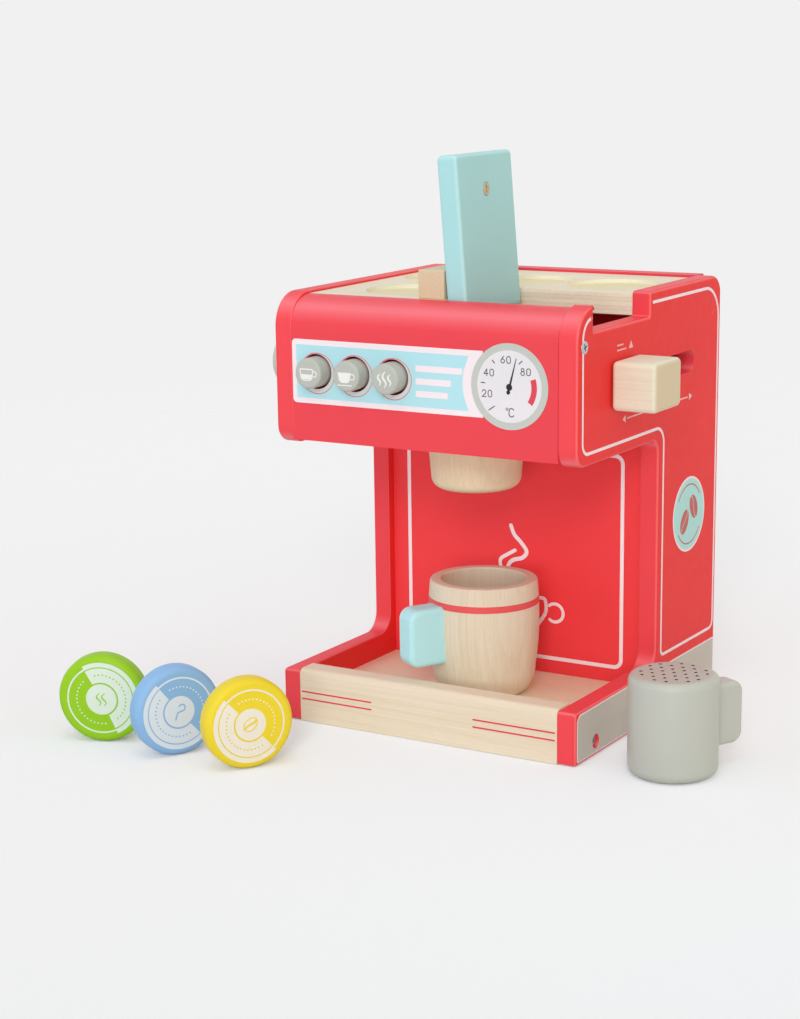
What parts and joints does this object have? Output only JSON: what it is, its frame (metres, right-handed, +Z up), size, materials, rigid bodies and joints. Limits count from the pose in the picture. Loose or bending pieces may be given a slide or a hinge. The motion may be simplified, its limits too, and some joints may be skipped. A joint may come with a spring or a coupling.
{
  "type": "toy coffee maker",
  "caption": "Wooden toy coffee machine with a lift-up lid over a pod chute, a sliding pod drop, push buttons, a dial print, a side knob, a mug, a sprinkle shaker and loose pods.",
  "frame": {"origin": "middle of the cabinet's underside, on the table", "axes": "+X to the side with the slider handle, -Y to the front, +Z up"},
  "size_m": [0.3732, 0.3077, 0.341],
  "materials": {
    "red_paint": "satin red paint on pine board, edges eased and slightly worn",
    "red_inside": "thin red paint inside the head",
    "red_splash": "satin red paint with fine white line prints",
    "natural_wood": "clear satin lacquer on pale beech and pine",
    "tray_ply": "clear lacquered birch plywood with layered edges",
    "lid_paint": "pale blue-green satin paint",
    "grey_paint": "warm grey satin paint",
    "button_paint": "grey-green satin paint",
    "green_paint": "green satin paint with pale print",
    "blue_paint": "blue satin paint with pale print",
    "yellow_paint": "yellow satin paint with pale print",
    "steel": "zinc-plated steel"
  },
  "bodies": {
    "cabinet": {"left_panel": "red_paint", "right_panel": "red_paint", "back_panel": "red_paint", "base_board": "natural_wood", "front_bar": "natural_wood", "splash_panel": "red_splash", "head_floor": "red_inside", "pod_deck": "natural_wood", "chute_wall": "red_inside", "slider_rails": "natural_wood", "rear_batten": "natural_wood", "fascia": "red_paint", "tray": "tray_ply", "stop_bar": "natural_wood", "button_board": "natural_wood", "button_spring_1": "steel", "button_spring_2": "steel", "button_spring_3": "steel", "nozzle": "natural_wood", "nozzle_screw": "steel", "lid_pin": "steel", "panel_screws": "steel", "screw_plugs": "red_paint"},
    "lid_body": {"lid": "lid_paint", "lid_screw": "steel"},
    "slider": {"slider_plate": "red_inside", "slider_dowel": "natural_wood", "slider_handle": "natural_wood"},
    "button_left": {"button_1": "button_paint"},
    "button_middle": {"button_2": "button_paint"},
    "button_right": {"button_3": "button_paint"},
    "knob": {"side_knob": "grey_paint", "knob_axle": "natural_wood", "axle_collar": "natural_wood"},
    "mug": {"mug_body": "natural_wood", "mug_handle": "lid_paint"},
    "shaker": {"shaker_body": "grey_paint", "shaker_handle": "grey_paint"},
    "green_pod": {"pod_green": "green_paint"},
    "blue_pod": {"pod_blue": "blue_paint"},
    "yellow_pod": {"pod_yellow": "yellow_paint"}
  },
  "joints": [
    {"name": "lid_hinge", "type": "hinge", "parent": "cabinet", "child": "lid_body", "pos_m": [0.012, -0.0425, 0.2534], "axis": [0, 1, 0], "range_deg": [0, 94.4]},
    {"name": "pod_slide", "type": "slide", "parent": "cabinet", "child": "slider", "axis": [0, 1, 0], "range_m": [0, 0.09125]},
    {"name": "button_left_press", "type": "slide", "parent": "cabinet", "child": "button_left", "axis": [0, 1, 0], "range_m": [0, 0.006], "stiffness_N_per_m": 250, "springref_m": -0.002, "deforming": ["button_spring_1"]},
    {"name": "button_middle_press", "type": "slide", "parent": "cabinet", "child": "button_middle", "axis": [0, 1, 0], "range_m": [0, 0.006], "stiffness_N_per_m": 250, "springref_m": -0.002, "deforming": ["button_spring_2"]},
    {"name": "button_right_press", "type": "slide", "parent": "cabinet", "child": "button_right", "axis": [0, 1, 0], "range_m": [0, 0.006], "stiffness_N_per_m": 250, "springref_m": -0.002, "deforming": ["button_spring_3"]},
    {"name": "knob_turn", "type": "hinge", "parent": "cabinet", "child": "knob", "pos_m": [-0.1, -0.069, 0.218], "axis": [1, 0, 0], "continuous": true},
    {"name": "mug_lift", "type": "slide", "parent": "cabinet", "child": "mug", "axis": [0, -0.7359, 0.6771], "range_m": [0, 0.142]},
    {"name": "shaker_lift", "type": "slide", "parent": "cabinet", "child": "shaker", "axis": [0, 0, 1], "range_m": [0, 0.12]},
    {"name": "green_pod_lift", "type": "slide", "parent": "cabinet", "child": "green_pod", "axis": [0, 0, 1], "range_m": [0, 0.1]},
    {"name": "blue_pod_lift", "type": "slide", "parent": "cabinet", "child": "blue_pod", "axis": [0, 0, 1], "range_m": [0, 0.1]},
    {"name": "yellow_pod_lift", "type": "slide", "parent": "cabinet", "child": "yellow_pod", "axis": [0, 0, 1], "range_m": [0, 0.1]}
  ]
}
